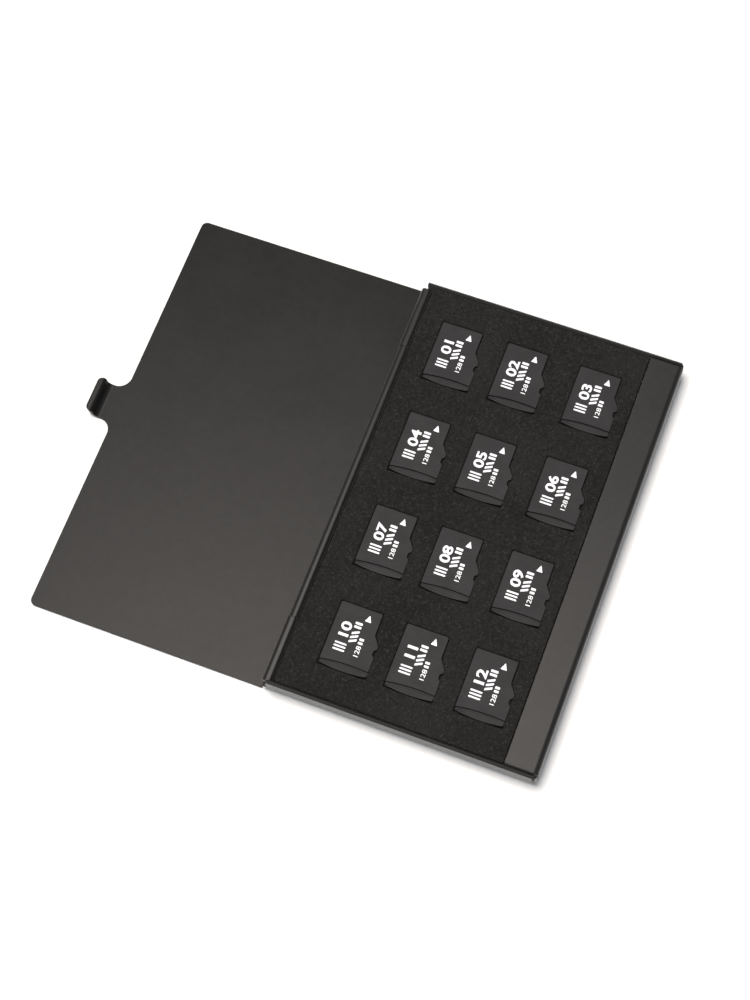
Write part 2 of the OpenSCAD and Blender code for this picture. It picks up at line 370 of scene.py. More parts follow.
def foam_material(name, dark, light):
    """Closed-cell foam: fine cells, open pores on the cut faces, mottled tone."""
    k = Nodes(name)
    cells = k.cells(2300)
    pores = k.cells(1250, spread=1.0).outputs["Distance"]
    fine = k.noise(3800, 4, 0.7)
    mid = k.noise(1500, 3, 0.6)
    wide = k.noise(70, 3, 0.5)
    tone = k.math("MULTIPLY", fine, 0.34)
    tone = k.math("ADD", tone, k.math("MULTIPLY", mid, 0.5))
    tone = k.math("ADD", tone, k.math("MULTIPLY", wide, 0.16))
    colour = k.mix(k.ranged(tone, 0.445, 0.555, 0, 1), dark, light)
    pit = k.ranged(pores, 0.1, 0.32, 0.35, 1.0)
    # the pores multiply the colour down to 0.35: painted shade in the pits
    shade = k.mix(1.0, colour, k.mix(pit, (0.35, 0.35, 0.35), (1, 1, 1)), "MULTIPLY")
    fleck = k.ranged(k.noise(2100, 2, 0.5), 0.57, 0.67, 0, 0.6)
    k.use("Base Color", k.mix(fleck, shade, tuple(min(1, c * 2.6) for c in light)))
    k.use("Roughness", k.ranged(mid, 0.3, 0.7, 0.78, 0.95))
    k.value("Specular IOR Level", 0.28)
    k.value("Sheen Weight", 0.06)
    k.value("Sheen Roughness", 0.5)
    high = k.math("ADD", k.math("MULTIPLY", cells.outputs["Distance"], 0.8), fine)
    high = k.math("ADD", high, k.math("MULTIPLY", pit, 0.9))
    k.use("Normal", k.bump(high, 0.6, 0.00006))
    return k.material


def plastic_material(name, dark, light):
    """Moulded card plastic with a fine spark-eroded texture."""
    k = Nodes(name)
    grain = k.noise(6500, 3, 0.6)
    fine = k.cells(5200).outputs["Distance"]
    cloud = k.noise(180, 3, 0.5)
    scuff = k.noise(1.0, 3, 0.6, k.scaled((400, 5200, 400), (0, 0, 0.5)))
    tone = k.math(
        "ADD", k.math("MULTIPLY", cloud, 0.6), k.math("MULTIPLY", grain, 0.4)
    )
    k.use("Base Color", k.mix(k.ranged(tone, 0.35, 0.65, 0, 1), dark, light))
    k.use("Roughness", k.ranged(scuff, 0.3, 0.7, 0.54, 0.66))
    k.value("Specular IOR Level", 0.14)
    high = k.math("ADD", grain, k.math("MULTIPLY", fine, 0.6))
    k.use("Normal", k.bump(high, 0.22, 0.000015))
    return k.material


def ink_material(name):
    """White screen-printed ink, faintly uneven, thinner in spots."""
    k = Nodes(name)
    grain = k.noise(5200, 3, 0.6)
    spots = k.noise(1900, 3, 0.6)
    k.use(
        "Base Color",
        k.mix(k.ranged(spots, 0.38, 0.55, 0.0, 1), (0.74, 0.77, 0.81), (0.87, 0.9, 0.95)),
    )
    k.use("Roughness", k.ranged(grain, 0.3, 0.7, 0.45, 0.6))
    k.use("Normal", k.bump(grain, 0.3, 0.00001))
    return k.material


def gold_material(name):
    k = Nodes(name)
    grain = k.noise(4200, 3, 0.6)
    rub = k.noise(1.0, 2, 0.5, k.scaled((9000, 500, 500)))
    k.use(
        "Base Color",
        k.mix(k.ranged(grain, 0.3, 0.7, 0, 1), (0.72, 0.49, 0.17), (0.88, 0.64, 0.27)),
    )
    k.value("Metallic", 1.0)
    k.use("Roughness", k.ranged(rub, 0.3, 0.7, 0.2, 0.34))
    k.use("Normal", k.bump(rub, 0.2, 0.000008))
    return k.material


def steel_material(name):
    """Drawn steel wire, with fine marks along its length."""
    k = Nodes(name)
    lines = k.noise(1.0, 3, 0.6, k.scaled((9000, 160, 9000)))
    spots = k.noise(900, 3, 0.55)
    k.use(
        "Base Color",
        k.mix(k.ranged(spots, 0.3, 0.7, 0, 1), (0.36, 0.355, 0.35), (0.55, 0.545, 0.54)),
    )
    k.value("Metallic", 1.0)
    k.use("Roughness", k.ranged(lines, 0.3, 0.7, 0.24, 0.4))
    k.use("Normal", k.bump(lines, 0.25, 0.00001))
    return k.material


def adhesive_material(name):
    """Translucent-looking double-sided tape, with its tissue fibres."""
    k = Nodes(name)
    fibre = k.noise(1.0, 4, 0.65, k.scaled((1500, 5200, 1500), (0, 0, 0.9)))
    cloud = k.noise(400, 3, 0.6)
    tone = k.math(
        "ADD", k.math("MULTIPLY", fibre, 0.6), k.math("MULTIPLY", cloud, 0.4)
    )
    k.use(
        "Base Color",
        k.mix(k.ranged(tone, 0.35, 0.65, 0, 1), (0.5, 0.47, 0.4), (0.68, 0.66, 0.58)),
    )
    k.use("Roughness", k.ranged(cloud, 0.3, 0.7, 0.3, 0.5))
    k.use("Normal", k.bump(fibre, 0.3, 0.00002))
    return k.material


TRAY = anodised(
    "tray_finish", (0.0112, 0.0112, 0.0118), (0.0182, 0.0179, 0.0182), 0.42, 0.3, 0.42
)
LID = anodised(
    "lid_finish", (0.0084, 0.0085, 0.0091), (0.0146, 0.0143, 0.0144), 0.39, 0.18, 0.06
)
FOAM = foam_material("foam_finish", (0.0004, 0.0004, 0.0004), (0.0112, 0.0112, 0.0108))
PLASTIC = plastic_material("card_finish", (0.0230, 0.0228, 0.0243), (0.0304, 0.0301, 0.0320))
INK = ink_material("print_finish")
GOLD = gold_material("contact_finish")
STEEL = steel_material("pin_finish")
TAPE = adhesive_material("tape_finish")


# --------------------------------------------------------------------------
# tray: one sheet folded into a pan, with the strip turned in over the front


def make_tray():
    pan = prism(
        fillet(
            [
                (-31.1, 0, 1.2),
                (FRONT_X, 0, 3.0),
                (FRONT_X, BODY_H, 1.3),
                (SIDE_X, BODY_H, 0.45),
                (SIDE_X, 2.4, 0.35),
                (-31.1, 2.4, 0.5),
            ],
            4.5,
        ),
        "y",
        -52,
        52,
    )
    ends = prism(
        fillet(
            [
                (-HALF_L, 0, 3.0),
                (HALF_L, 0, 3.0),
                (HALF_L, BODY_H - 0.44, 0.2),
                (HALF_L - 0.38, BODY_H, 0.14),
                (0.38 - HALF_L, BODY_H, 0.14),
                (-HALF_L, BODY_H - 0.44, 0.2),
            ],
            4.5,
        ),
        "x",
        -33,
        34,
    )
    plan = prism(
        fillet(
            [
                (-33, -HALF_L, 0),
                (FRONT_X, -HALF_L, 1.2),
                (FRONT_X, HALF_L, 1.2),
                (-33, HALF_L, 0),
            ],
            6,
        ),
        "z",
        -2,
        9,
    )
    combine(pan, "INTERSECT", ends, plan)

    # the hollow, whose rims are rounded over on their inner side
    hollow = prism(
        fillet(
            [
                (-36, SHEET, 0),
                (30.45, SHEET, 2.2),
                (30.45, 5.9, 0.5),
                (STRIP_IN, 5.9, 0),
                (STRIP_IN, 9, 0),
                (-36, 9, 0),
            ],
            6,
        ),
        "y",
        -60,
        60,
    )
    flare = (
        [(WALL_IN, BODY_H - 0.68)]
        + arc(WALL_IN + 0.3, BODY_H - 0.62, 0.3, 180, 140, 8)
        + [(WALL_IN + 0.44, BODY_H), (WALL_IN + 0.6, BODY_H + 0.2)]
    )
    right = [(WALL_IN, SHEET + 2.15)] + flare + [(WALL_IN + 0.6, 9)]
    width = (
        [(-y, z) for y, z in reversed(right)]
        + arc(-(WALL_IN - 2.15), SHEET + 2.15, 2.15, 180, 270, 6)
        + arc(WALL_IN - 2.15, SHEET + 2.15, 2.15, 270, 360, 6)
        + right
    )
    combine(hollow, "INTERSECT", prism(width, "x", -40, 40))

    cuts = [hollow]
    for s in (-1, 1):
        y0, y1 = sorted((s * END_IN, s * 47.5))
        cuts.append(block(-33, -28.4, y0, y1, -2, 1.6))
        # seam between the turned-in strip and the side wall
        seam = (
            [(WALL_IN - 0.25, 3.0), (WALL_IN, 3.0)]
            + flare
            + [(WALL_IN + 0.6, 9), (WALL_IN - 0.45, 9)]
            + arc(WALL_IN - 0.45, BODY_H - 0.2, 0.2, 90, 0, 15)
        )
        cuts.append(prism([(s * y, z) for y, z in seam], "x", STRIP_IN - 1.2, 34))
    cuts.append(block(-33, -29.4, -END_IN, END_IN, -2, 1.6))
    combine(pan, "DIFFERENCE", *cuts)

    # low lip behind the foam, turned up from the bottom
    lip = prism(
        fillet(
            [
                (-29.4, 0, 0.55),
                (-27.4, 0, 0),
                (-27.4, SHEET, 0),
                (-28.6, SHEET, 0.2),
                (-28.6, 2.2, 0.3),
                (-29.4, 2.2, 0.3),
            ],
            9,
        ),
        "y",
        -MID,
        MID,
    )
    combine(pan, "DIFFERENCE", block(-30.5, -28.8, -END_IN, END_IN, -1, SHEET + 0.4))
    parts = [lip]

    # end knuckles, rolled over from the bottom
    cx = AXIS_X - SHIFT
    meet = math.degrees(math.asin(0.25 / KNUCKLE_R))
    # the curl's upper side is pressed flat towards the foam
    flat = arc(-29.76, AXIS_Z + KNUCKLE_R - 0.78, 0.78, 90, 0, 9)
    flat += arc(-29.42, AXIS_Z + 0.1, 0.44, 0, -60, 15)
    section = (
        [(-27.4, 0)]
        + arc(-28.4, 1.55, 1.55, 270, 180, 7.5)
        + [(cx + 0.25, AXIS_Z - math.sqrt(KNUCKLE_R**2 - 0.25**2))]
        + arc(cx, AXIS_Z, KNUCKLE_R, -90 + meet, -270, 7.5)[1:]
        + flat[:-2]
        + [(-29.15, 3.3)]
        + arc(-28.4, 1.55, 0.75, 180, 270, 9)
        + [(-27.4, SHEET)]
    )
    roll = arc(cx, AXIS_Z, KNUCKLE_R, -60, -270, 7.5) + flat
    for s in (-1, 1):
        y0, y1 = sorted((s * END_IN, s * 47.5))
        r0, r1 = sorted((s * 47.1, s * 49.55))
        w0, w1 = sorted((s * END_IN, s * 47.47))
        parts.append(prism(section, "y", w0, w1))
        parts.append(prism(roll, "y", r0, r1))
    combine(pan, "UNION", *parts)
    bores = []
    for s in (-1, 1):
        y0, y1 = sorted((s * 33, s * 49.9))
        bores.append(
            prism(arc(AXIS_X, AXIS_Z, BORE_R, 0, 360, 10)[:-1], "y", y0, y1)
        )
    combine(pan, "DIFFERENCE", *bores)
    clean(pan)
    soften(pan, 0.1, 2, 56)
    return named(pan, "tray", TRAY, "case_body", ["base_tray"])


# --------------------------------------------------------------------------
# lid: a flat sheet with a rolled knuckle and a folded latch


def make_lid():
    half = 50.4
    r = 3.0
    plan = (
        [(AXIS_X - 1.25, -half), (AXIS_X - 1.25, -END_IN), (-31.8, -END_IN)]
        + [(-31.8, END_IN), (AXIS_X - 1.25, END_IN), (AXIS_X - 1.25, half)]
        + arc(FREE_X + 1.4, half - 1.4, 1.4, 90, 180, 5)
        + arc(FREE_X - r, 4.3 + r, r, 0, -90, 5)
        + [(-89.95, 4.3), (-89.95, -4.3)]
        + arc(FREE_X - r, -4.3 - r, r, 90, 0, 5)
        + arc(FREE_X + 1.4, -half + 1.4, 1.4, 180, 270, 5)
    )
    plate = prism(plan, "z", 0, SHEET)

    meet = math.degrees(math.asin(0.25 / KNUCKLE_R))
    section = (
        [(-33.8, 0)]
        + arc(-31.8, 1.55, 1.55, 270, 360, 7.5)
        + [(AXIS_X - 0.25, AXIS_Z - math.sqrt(KNUCKLE_R**2 - 0.25**2))]
        + arc(AXIS_X, AXIS_Z, KNUCKLE_R, -90 - meet, 0, 7.5)[1:]
        # pressed flat towards the foam, as on the tray
        + arc(AXIS_X + KNUCKLE_R - 0.78, AXIS_Z + KNUCKLE_R - 0.78, 0.78, 0, 90, 9)
        + arc(AXIS_X, AXIS_Z, KNUCKLE_R, 90, 180, 7.5)
        + arc(-31.8, 1.55, 0.75, 0, -90, 9)
        + [(-33.8, SHEET)]
    )
    knuckle = prism(section, "y", -MID, MID)
    bore = prism(arc(AXIS_X, AXIS_Z, BORE_R, 0, 360, 10)[:-1], "y", -MID - 1, MID + 1)

    # the latch follows its own middle line: tongue, bend, wall, lip
    line = (
        [(FREE_X - 1.5, 0.4)]
        + arc(-89.95, 2.25, 1.85, 270, 180, 6)
        + arc(-92.35, 2.45, 0.55, 0, 80, 8)
        + [(-92.85, 3.09)]
    )
    line = np.array(line)
    step = np.gradient(line, axis=0)
    step /= np.linalg.norm(step, axis=1)[:, None]
    side = np.c_[-step[:, 1], step[:, 0]] * 0.4
    tip, out = line[-1], math.degrees(math.atan2(step[-1, 1], step[-1, 0]))
    ring = (
        [tuple(p) for p in line + side]
        + arc(tip[0], tip[1], 0.4, out + 90, out - 90, 15)[1:-1]
        + [tuple(p) for p in (line - side)[::-1]]
    )
    latch = prism(ring, "y", -4.3, 4.3)
    lip_r = 1.3
    trim = prism(
        fillet(
            [
                (-93.22, -4.3, lip_r),
                (-80, -4.3, 0),
                (-80, 4.3, 0),
                (-93.22, 4.3, lip_r),
            ],
            7.5,
        ),
        "z",
        -2,
        9,
    )
    combine(latch, "INTERSECT", trim)
    combine(plate, "UNION", knuckle, latch)
    combine(plate, "DIFFERENCE", bore)
    clean(plate)
    soften(plate, 0.11, 2, 56)
    lid = named(plate, "lid", LID, "lid", ["lid_plate"])
    # the curl is burnished by the rolling tool
    # the curl's top gets the tray's lighter finish, with more reflection and sheen: a painted highlight along
    # the bead
    lid.data.materials.append(TRAY)
    for face in lid.data.polygons:
        if face.center.x > (AXIS_X - 1.3) / 1000 and face.center.z > 0.0028:
            face.material_index = 1
    return lid


def make_pin():
    """Wire pin, its ends chamfered and faintly domed."""
    bm = bmesh.new()
    rings, n = [], 40
    ends = [(0.0, 49.5), (0.2, 49.5), (0.34, 49.47), (0.44, 49.38), (0.5, 49.2)]
    profile = [(r, -y) for r, y in ends] + [(0.5, y) for y in np.linspace(-48, 48, 33)]
    profile += [(r, y) for r, y in reversed(ends)]
    for r, y in profile:
        if r == 0:
            rings.append([bm.verts.new((AXIS_X, y, AXIS_Z))])
            continue
        rings.append(
            [
                bm.verts.new(
                    (
                        AXIS_X + r * math.cos(2 * math.pi * i / n),
                        y,
                        AXIS_Z + r * math.sin(2 * math.pi * i / n),
                    )
                )
                for i in range(n)
            ]
        )
    for a, b in zip(rings, rings[1:]):
        for i in range(n):
            j = (i + 1) % n
            if len(a) == 1:
                bm.faces.new((a[0], b[i], b[j]))
            elif len(b) == 1:
                bm.faces.new((a[i], a[j], b[0]))
            else:
                bm.faces.new((a[i], a[j], b[j], b[i]))
    bmesh.ops.recalc_face_normals(bm, faces=bm.faces)
    mesh = bpy.data.meshes.new("pin")
    bm.to_mesh(mesh)
    bm.free()
    mesh.shade_smooth()
    obj = link(bpy.data.objects.new("pin", mesh))
    return named(obj, "pin", STEEL, "case_body", ["hinge_pin"])


# --------------------------------------------------------------------------
# foam: a die-cut top layer on a plain base, both with real grain


def field(u, v, cell, seed):
    """Smooth random values from -1 to 1, one lattice cell across."""
    n = 512
    lattice = np.random.RandomState(seed).rand(n, n) * 2 - 1
    gu, gv = np.asarray(u) / cell, np.asarray(v) / cell
    iu, iv = np.floor(gu).astype(int), np.floor(gv).astype(int)
    fu, fv = gu - iu, gv - iv
    fu, fv = fu * fu * (3 - 2 * fu), fv * fv * (3 - 2 * fv)
    at = lambda a, b: lattice[a % n, b % n]
    low = at(iu, iv) * (1 - fu) + at(iu + 1, iv) * fu
    high = at(iu, iv + 1) * (1 - fu) + at(iu + 1, iv + 1) * fu
    return low * (1 - fv) + high * fv


def resampled(outline, spacing):
    """Points about spacing apart along a closed outline, corners kept."""
    found = []
    pts = tidy(outline)
    for p, q in zip(pts, pts[1:] + pts[:1]):
        k = max(1, round(math.dist(p, q) / spacing))
        for j in range(k):
            found.append((p[0] + (q[0] - p[0]) * j / k, p[1] + (q[1] - p[1]) * j / k))
    return np.array(found)


def outward(loop):
    """Unit normals of an anticlockwise loop, pointing out."""
    t = np.roll(loop, -1, 0) - loop
    t /= np.linalg.norm(t, axis=1)[:, None]
    t = t + np.roll(t, 1, 0)
    t /= np.linalg.norm(t, axis=1)[:, None]
    return np.c_[t[:, 1], -t[:, 0]]


def inside(points, loop):
    """True for each point inside a closed loop."""
    x, y = points[:, 0], points[:, 1]
    found = np.zeros(len(points), bool)
    near = (
        (x > loop[:, 0].min() - 1)
        & (x < loop[:, 0].max() + 1)
        & (y > loop[:, 1].min() - 1)
        & (y < loop[:, 1].max() + 1)
    )
    px, py = x[near], y[near]
    got = np.zeros(len(px), bool)
    for (ax, ay), (bx, by) in zip(loop, np.roll(loop, -1, 0)):
        if ay == by:
            continue
        crosses = (py < ay) != (py < by)
        got ^= crosses & (px < (bx - ax) * (py - ay) / (by - ay) + ax)
    found[near] = got
    return found


def cap(loops, z, step, seed, jitter=0.28):
    """Triangles over the area between the first loop and the others. Returns the points and the triangles; the loops' own points come first, in order."""
    edge = np.concatenate(loops)
    links, first = [], 0
    for loop in loops:
        n = len(loop)
        links += [(first + i, first + (i + 1) % n) for i in range(n)]
        first += n
    points = edge
    if step:
        lo, hi = edge.min(0), edge.max(0)
        rows = np.arange(lo[1], hi[1], step * 0.866)
        grid = []
        for k, y in enumerate(rows):
            xs = np.arange(lo[0] + (k % 2) * step / 2, hi[0], step)
            grid.append(np.c_[xs, np.full(len(xs), y)])
        grid = np.concatenate(grid)
        grid += (np.random.RandomState(seed).rand(*grid.shape) - 0.5) * step * jitter
        keep = inside(grid, loops[0])
        for loop in loops[1:]:
            keep &= ~inside(grid, loop)
        grid = grid[keep]
        tree = KDTree(len(edge))
        for i, p in enumerate(edge):
            tree.insert((p[0], p[1], 0), i)
        tree.balance()
        far = [tree.find((p[0], p[1], 0))[2] > step * 0.6 for p in grid]
        points = np.concatenate([edge, grid[far]])
    made, _, faces, origin, _, _ = delaunay_2d_cdt(
        [Vector(p) for p in points], links, [], 0, 1e-7, True
    )
    back = np.array([o[0] if o else -1 for o in origin])
    tri = back[np.array([f for f in faces if len(f) == 3])]
    tri = tri[(tri >= 0).all(1)]
    middle = points[tri].mean(1)
    keep = inside(middle, loops[0])
    for loop in loops[1:]:
        keep &= ~inside(middle, loop)
    return points, tri[keep]


def slab(outer, holes, z0, z1, top_r, low_r, step, seed, grain):
    """A foam slab with rounded edges: outline loops, through holes, grain on its faces."""
    loops = [resampled(outer, step)] + [resampled(h, step) for h in holes]
    signs = [1] + [-1] * len(holes)
    # each ring is how far in the wall stands from its outline, and its height
    rings = [
        (low_r * (1 - math.sin(t)), z0 + low_r * (1 - math.cos(t)))
        for t in np.radians(np.linspace(0, 90, 7 if low_r > 0.5 else 4))
    ]
    rings = [(round(a, 6), round(b, 6)) for a, b in rings]
    levels = np.linspace(
        z0 + low_r, z1 - top_r, max(2, int((z1 - z0 - low_r - top_r) / 0.3) + 1)
    )
    rings += [(0.0, float(z)) for z in levels[1:]]
    rings += [
        (top_r * (1 - math.cos(t)), z1 - top_r + top_r * math.sin(t))
        for t in np.radians(np.linspace(0, 90, 5))[1:]
    ]
    verts, faces = [], []
    tops, lows = [], []
    for loop, sign in zip(loops, signs):
        normal = outward(loop) * sign
        n, start = len(loop), len(verts)
        for k, (inset, z) in enumerate(rings):
            at = loop - normal * inset
            rough = field(at[:, 0] * 1.3 + z * 2.1, at[:, 1] * 1.3 - z * 1.7, 0.5, seed + 5)
            rough = rough * grain * (0.6 if 0 < k < len(rings) - 1 else 0.0)
            at = at - normal * (np.abs(rough) * 0.9)[:, None]
            verts += [(x, y, z) for x, y in at]
            if k == 0:
                lows.append(at)
            if k == len(rings) - 1:
                tops.append(at)
        for k in range(len(rings) - 1):
            a, b = start + k * n, start + (k + 1) * n
            for i in range(n):
                j = (i + 1) % n
                quad = (a + i, a + j, b + j, b + i)
                faces.append(quad if sign > 0 else quad[::-1])
    # caps share the walls' first and last rings
    starts, at = [], 0
    for loop in loops:
        starts.append(at)
        at += len(loop) * len(rings)
    for which, z, spread, up in ((tops, z1, step, True), (lows, z0, 0, False)):
        points, tri = cap(which, z, spread, seed)
        index = np.empty(len(points), int)
        seen = 0
        for loop, start in zip(loops, starts):
            n = len(loop)
            base = start + ((len(rings) - 1) * n if up else 0)
            index[seen : seen + n] = base + np.arange(n)
            seen += n
        index[seen:] = len(verts) + np.arange(len(points) - seen)
        verts += [(x, y, z) for x, y in points[seen:]]
        p = points[tri]
        area = (p[:, 1, 0] - p[:, 0, 0]) * (p[:, 2, 1] - p[:, 0, 1]) - (
            p[:, 1, 1] - p[:, 0, 1]
        ) * (p[:, 2, 0] - p[:, 0, 0])
        tri = np.where((area > 0)[:, None] == up, tri, tri[:, ::-1])
        faces += [tuple(t) for t in index[tri].tolist()]
    verts = np.array(verts)
    top = verts[:, 2] > z1 - 1e-6
    x, y = verts[top, 0], verts[top, 1]
    high = 0.62 * field(x, y, 0.42, seed) + 0.38 * field(x, y, 0.8, seed + 1)
    high = high - 0.9 * np.clip(field(x, y, 0.55, seed + 2) - 0.45, 0, 1)
    wave = field(x, y, 9.0, seed + 3)
    verts[top, 2] += grain * (high - 0.35) + 0.02 * (wave - 1)
    mesh = bpy.data.meshes.new("foam")
    mesh.from_pydata(verts.tolist(), [], faces)
    mesh.validate()
    mesh.update()
    mesh.shade_smooth()
    return link(bpy.data.objects.new("foam", mesh))


def card_places():
    """Each card's middle in X and Y and its underside, from the CAD node's box."""
    found = []
    for i in range(12):
        lo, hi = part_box(f"memory_card_{i + 1:02d}")
        middle = (lo + hi) / 2 * 1000
        found.append((middle.x, middle.y, lo.z * 1000))
    return found


PLACES = card_places()


def make_foam():
    g, h, w, n = 0.13, 7.5, 5.5, 4.2
    pocket = fillet(
        [
            (-w - g, -h - g, 0.35),
            (w + g, -h - g, 0.35),
            (w + g, h - 6.8, 0.6),
            (n + g, h - 4.5, 0.8),
            (n + g, h + g, 0.35),
            (-w - g, h + g, 0.35),
        ],
        15,
    )
    holes = [[(x + u, y + v) for u, v in pocket] for x, y, _ in PLACES]
    outer = fillet(
        [
            (FOAM_X0, -FOAM_Y, 0.3),
            (FOAM_X1, -FOAM_Y, 0.3),
            (FOAM_X1, FOAM_Y, 0.3),
            (FOAM_X0, FOAM_Y, 0.3),
        ],
        15,
    )
    step = 0.28
    top = slab(outer, holes, FLOOR_Z + 0.004, FOAM_Z, 0.3, 0.05, step, 11, 0.05)
    named(top, "foam_top", FOAM, "case_body", ["foam_cutout"])
    outer = fillet(
        [
            (FOAM_X0, -FOAM_Y, 0.5),
            (30.2, -FOAM_Y, 1.2),
            (30.2, FOAM_Y, 1.2),
            (FOAM_X0, FOAM_Y, 0.5),
        ],
        15,
    )
    base = slab(outer, [], 0.95, FLOOR_Z, 0.1, 1.95, step * 1.5, 31, 0.03)
    named(base, "foam_bottom", FOAM, "case_body", ["foam_base"])


# --------------------------------------------------------------------------
# memory cards


def bow(y, r, half, count=14):
    """Points of a shallow arc of radius r through (0, y), bulging to -Y."""
    xs = np.linspace(-half, half, count + 1)
    return [(x, y + r - math.sqrt(r * r - x * x)) for x in xs]


def make_card_mesh():
    h, w, n = 7.5, 5.5, 3.98
    rear = bow(-h, 30.5, w - 0.28)
    outline = (
        rear
        + fillet(
            [
                (w - 0.28, -7.02, 0),
                (w, -6.98, 0.22),
                (w, h - 9.85, 0.18),
                (w - 0.6, h - 9.3, 0.34),
                (w - 0.6, h - 8.35, 0.34),
                (w, h - 7.9, 0.28),
                (w, h - 7.1, 0.6),
                (n, h - 5.0, 0.9),
                (n, h, 0.35),
                (-w, h, 0.35),
                (-w, -6.98, 0.22),
                (0.28 - w, -7.02, 0),
            ],
            12,
        )[1:-1]
    )
    body = prism(outline, "z", 0, 0.7)
    lip = prism(outline, "z", 0, 1.0)
    foot = lambda x, ahead=0.0: (x, -6.26 + 0.0409 * x - 0.0124 * x * x + ahead)
    across = np.linspace(-w - 0.8, w + 0.8, 25)
    keep = prism(
        [(-w - 1, -h - 2), (w + 1, -h - 2)] + [foot(x) for x in across[::-1]],
        "z",
        -1,
        2,
    )
    combine(lip, "INTERSECT", keep)
    combine(body, "UNION", lip)
    # groove along the foot of the lip
    a = [foot(x, 0.0) for x in across]
    b = [foot(x, 0.72) for x in across]
    combine(body, "DIFFERENCE", prism(a + b[::-1], "z", 0.14, 1.2))
    # seats of the contact pads, in the underside
    seats = [
        block(x - 0.42, x + 0.42, h - 3.92, h - 0.98, -1, 0.085) for x in pad_middles()
    ]
    combine(body, "DIFFERENCE", *seats)
    clean(body)
    soften(body, 0.06, 2, 50)
    mesh = body.data
    bpy.data.objects.remove(body)
    return mesh


def pad_middles():
    return [-5.5 + 1.1 + 1.1 * k for k in range(8)]


def make_pad_mesh():
    """Eight gold pads with rounded ends, flush with the card's underside."""
    whole = None
    for x in pad_middles():
        pad = prism(
            fillet(
                [
                    (x - 0.39, 3.62, 0.16),
                    (x + 0.39, 3.62, 0.16),
                    (x + 0.39, 6.48, 0.16),
                    (x - 0.39, 6.48, 0.16),
                ],
                15,
            ),
            "z",
            0.0,
            0.078,
        )
        soften(pad, 0.02, 2, 50)
        if whole is None:
            whole = pad
            continue
        bm = bmesh.new()
        bm.from_mesh(whole.data)
        bm.from_mesh(pad.data)
        bm.to_mesh(whole.data)
        bm.free()
        bpy.data.objects.remove(pad)
    mesh = whole.data
    mesh.shade_smooth()
    mesh.set_sharp_from_angle(angle=math.radians(35))
    bpy.data.objects.remove(whole)
    return mesh


def figures(text, x0, x1, y0, y1, bold=0.035):
    """Plain figures reading along +Y, as high as the box and in its middle."""
    curve = bpy.data.curves.new("figures", "FONT")
    curve.body, curve.offset, curve.resolution_u = text, bold, 5
    obj = link(bpy.data.objects.new("figures", curve))
    mesh = settled(obj)
    co = np.array([v.co[:2] for v in mesh.vertices])
    co = np.c_[-co[:, 1], co[:, 0]]  # turned to read along +Y
    lo, hi = co.min(0), co.max(0)
    high = (x1 - x0) / (hi[0] - lo[0])
    wide = min(high * 1.3, (y1 - y0) / (hi[1] - lo[1]))
    co = (co - (lo + hi) / 2) * (high, wide) + ((x0 + x1) / 2, (y0 + y1) / 2)
    faces = [tuple(p.vertices) for p in mesh.polygons]
    bpy.data.objects.remove(obj)
    bpy.data.meshes.remove(mesh)
    return co, faces


def pill(x0, x1, y0, y1, r):
    return fillet([(x0, y0, r), (x1, y0, r), (x1, y1, r), (x0, y1, r)], 15)


def make_print(i):
    """Slot number, plain bars, plain ticks and an insertion arrow, as thin raised ink."""
    bm = bmesh.new()

    def flat(points, faces):
        made = [bm.verts.new((x, y, 0.0)) for x, y in points]
        for f in faces:
            try:
                bm.faces.new([made[k] for k in f])
            except ValueError:
                pass

    flat(*figures(f"{i + 1:02d}", -3.7, -1.35, -1.0, 4.5, 0.03))
    shapes = [pill(-3.7, -1.0, y, y + 0.4, 0.19) for y in (-3.3, -2.55, -1.8)]
    # slanted bars and a small block beside the number
    shapes += [
        fillet([(-0.95, y, 0.12), (0.65, y + 0.75, 0.12), (0.65, y + 1.3, 0.12), (-0.95, y + 0.55, 0.12)], 20)
        for y in (-0.9, 0.05, 1.0)
    ]
    shapes += [pill(-0.95, 0.65, 2.65, 3.2, 0.15), pill(-0.95, 0.65, 3.5, 4.05, 0.15)]
    flat(*figures("128", 1.1, 2.15, -3.4, -0.9, 0.012))
    shapes += [pill(1.1, 2.15, y, y + 0.55, 0.12) for y in (-0.55, 0.3)]
    shapes.append(fillet([(0.75, 4.75, 0.1), (2.2, 4.75, 0.1), (1.475, 6.35, 0.1)], 20))
    for s in shapes:
        s = tidy(s)
        flat(s, [tuple(range(len(s)))])
    bmesh.ops.remove_doubles(bm, verts=bm.verts, dist=1e-4)
    bmesh.ops.recalc_face_normals(bm, faces=bm.faces)
    for f in bm.faces:
        if f.normal.z < 0:
            f.normal_flip()
    up = bmesh.ops.extrude_face_region(bm, geom=list(bm.faces))
    lifted = [v for v in up["geom"] if isinstance(v, bmesh.types.BMVert)]
    for v in lifted:
        v.co.z = 0.022
    for f in bm.faces:
        if all(abs(v.co.z) < 1e-6 for v in f.verts):
            f.normal_flip()
    bmesh.ops.recalc_face_normals(bm, faces=bm.faces)
    mesh = bpy.data.meshes.new("print")
    bm.to_mesh(mesh)
    bm.free()
    return mesh


def make_cards():
    card, pads = make_card_mesh(), make_pad_mesh()
    for i, (x, y, z) in enumerate(PLACES):
        tag = f"{i + 1:02d}"
        body = f"card_{tag}"
        for kind, mesh, material, slot, node, lift in (
            ("card", card.copy(), PLASTIC, "card_plastic", "memory_card_", 0.0),
            ("pads", pads.copy(), GOLD, "contact_gold", "card_contacts_", 0.0),
            ("marks", make_print(i), INK, None, None, 0.7),
        ):
            mesh.transform(Matrix.Translation((x, y, z + lift)))
            obj = link(bpy.data.objects.new(kind, mesh))
            named(
                obj,
                f"{kind}_{tag}",
                material,
                body,
                [node + tag] if node else (),
            )


make_tray()
make_lid()
make_pin()
make_foam()
make_cards()

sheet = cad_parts["adhesive_sheet"]
sheet.data.materials.clear()
sheet.data.materials.append(TAPE)

# --------------------------------------------------------------------------
# floor, light and camera


